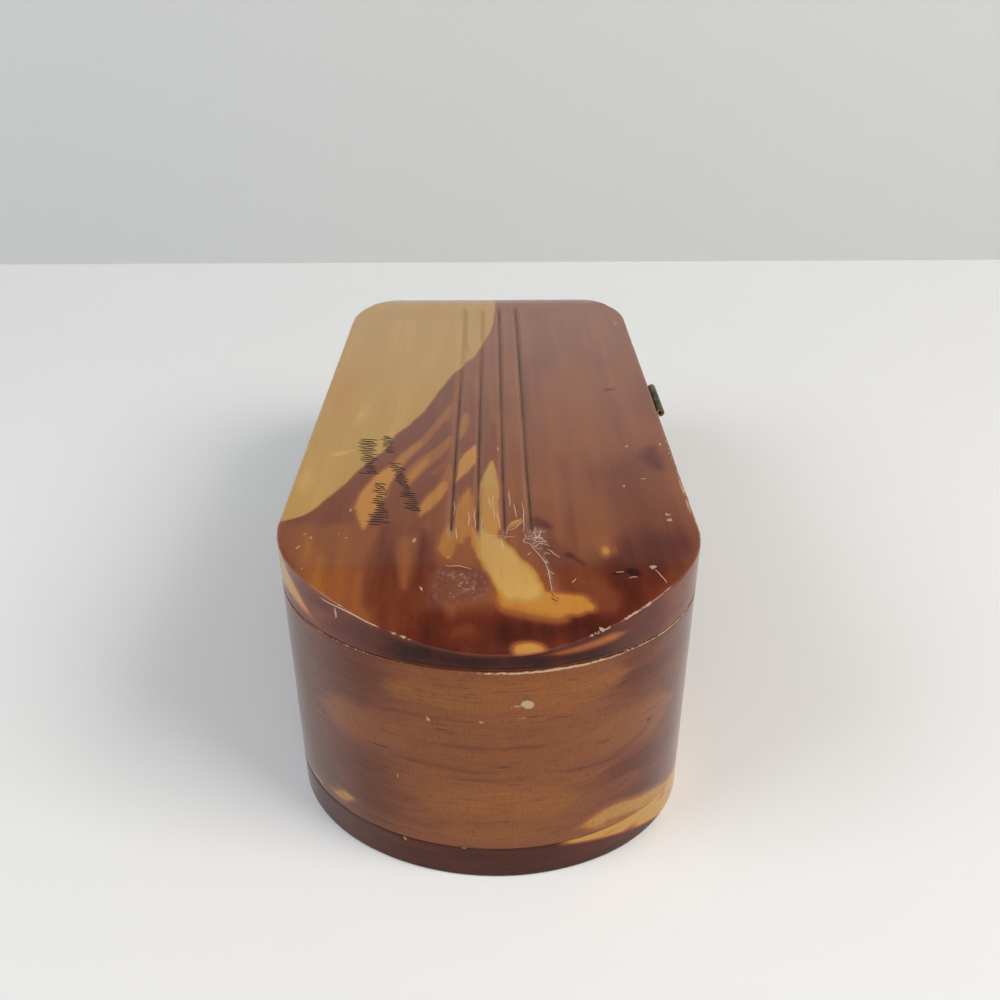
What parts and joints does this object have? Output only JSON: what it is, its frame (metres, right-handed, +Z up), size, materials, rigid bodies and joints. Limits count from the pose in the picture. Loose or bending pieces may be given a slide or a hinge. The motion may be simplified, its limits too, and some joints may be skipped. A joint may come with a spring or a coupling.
{
  "type": "trinket box",
  "caption": "Long varnished cedar trinket box with rounded ends, a thick hinged lid with straight grooves, and a small brass clasp.",
  "frame": {"origin": "centre of the underside of the closed box, on the surface it stands on", "axes": "+Z up; +Y along the box, away from the end the picture shows; +X towards the side with the clasp"},
  "size_m": [0.082, 0.174, 0.0566],
  "materials": {
    "cedar_body": "glossy old varnish over red cedar",
    "cedar_bottom": "glossy old varnish over dark purple-brown cedar",
    "cedar_lid": "glossy old varnish over red and yellow cedar",
    "brass_sheet": "tarnished brass sheet",
    "brass_nails": "tarnished brass nails and pins"
  },
  "bodies": {
    "box": {"body": "cedar_body", "bottom_board": "cedar_bottom", "catch_plate": "brass_sheet", "catch_nail_near": "brass_nails", "catch_nail_far": "brass_nails", "hinge_1_body_leaf": "brass_sheet", "hinge_1_pin": "brass_nails", "hinge_1_body_nail_near": "brass_nails", "hinge_1_body_nail_far": "brass_nails", "hinge_2_body_leaf": "brass_sheet", "hinge_2_pin": "brass_nails", "hinge_2_body_nail_near": "brass_nails", "hinge_2_body_nail_far": "brass_nails"},
    "lid": {"lid": "cedar_lid", "clasp": "brass_sheet", "clasp_nail_near": "brass_nails", "clasp_nail_far": "brass_nails", "hinge_1_lid_leaf": "brass_sheet", "hinge_1_lid_nail_near": "brass_nails", "hinge_1_lid_nail_far": "brass_nails", "hinge_2_lid_leaf": "brass_sheet", "hinge_2_lid_nail_near": "brass_nails", "hinge_2_lid_nail_far": "brass_nails"}
  },
  "joints": [
    {"name": "lid_hinge", "type": "hinge", "parent": "box", "child": "lid", "pos_m": [-0.0396, 0, 0.04725], "axis": [0, -1, 0], "range_deg": [0, 105]}
  ]
}
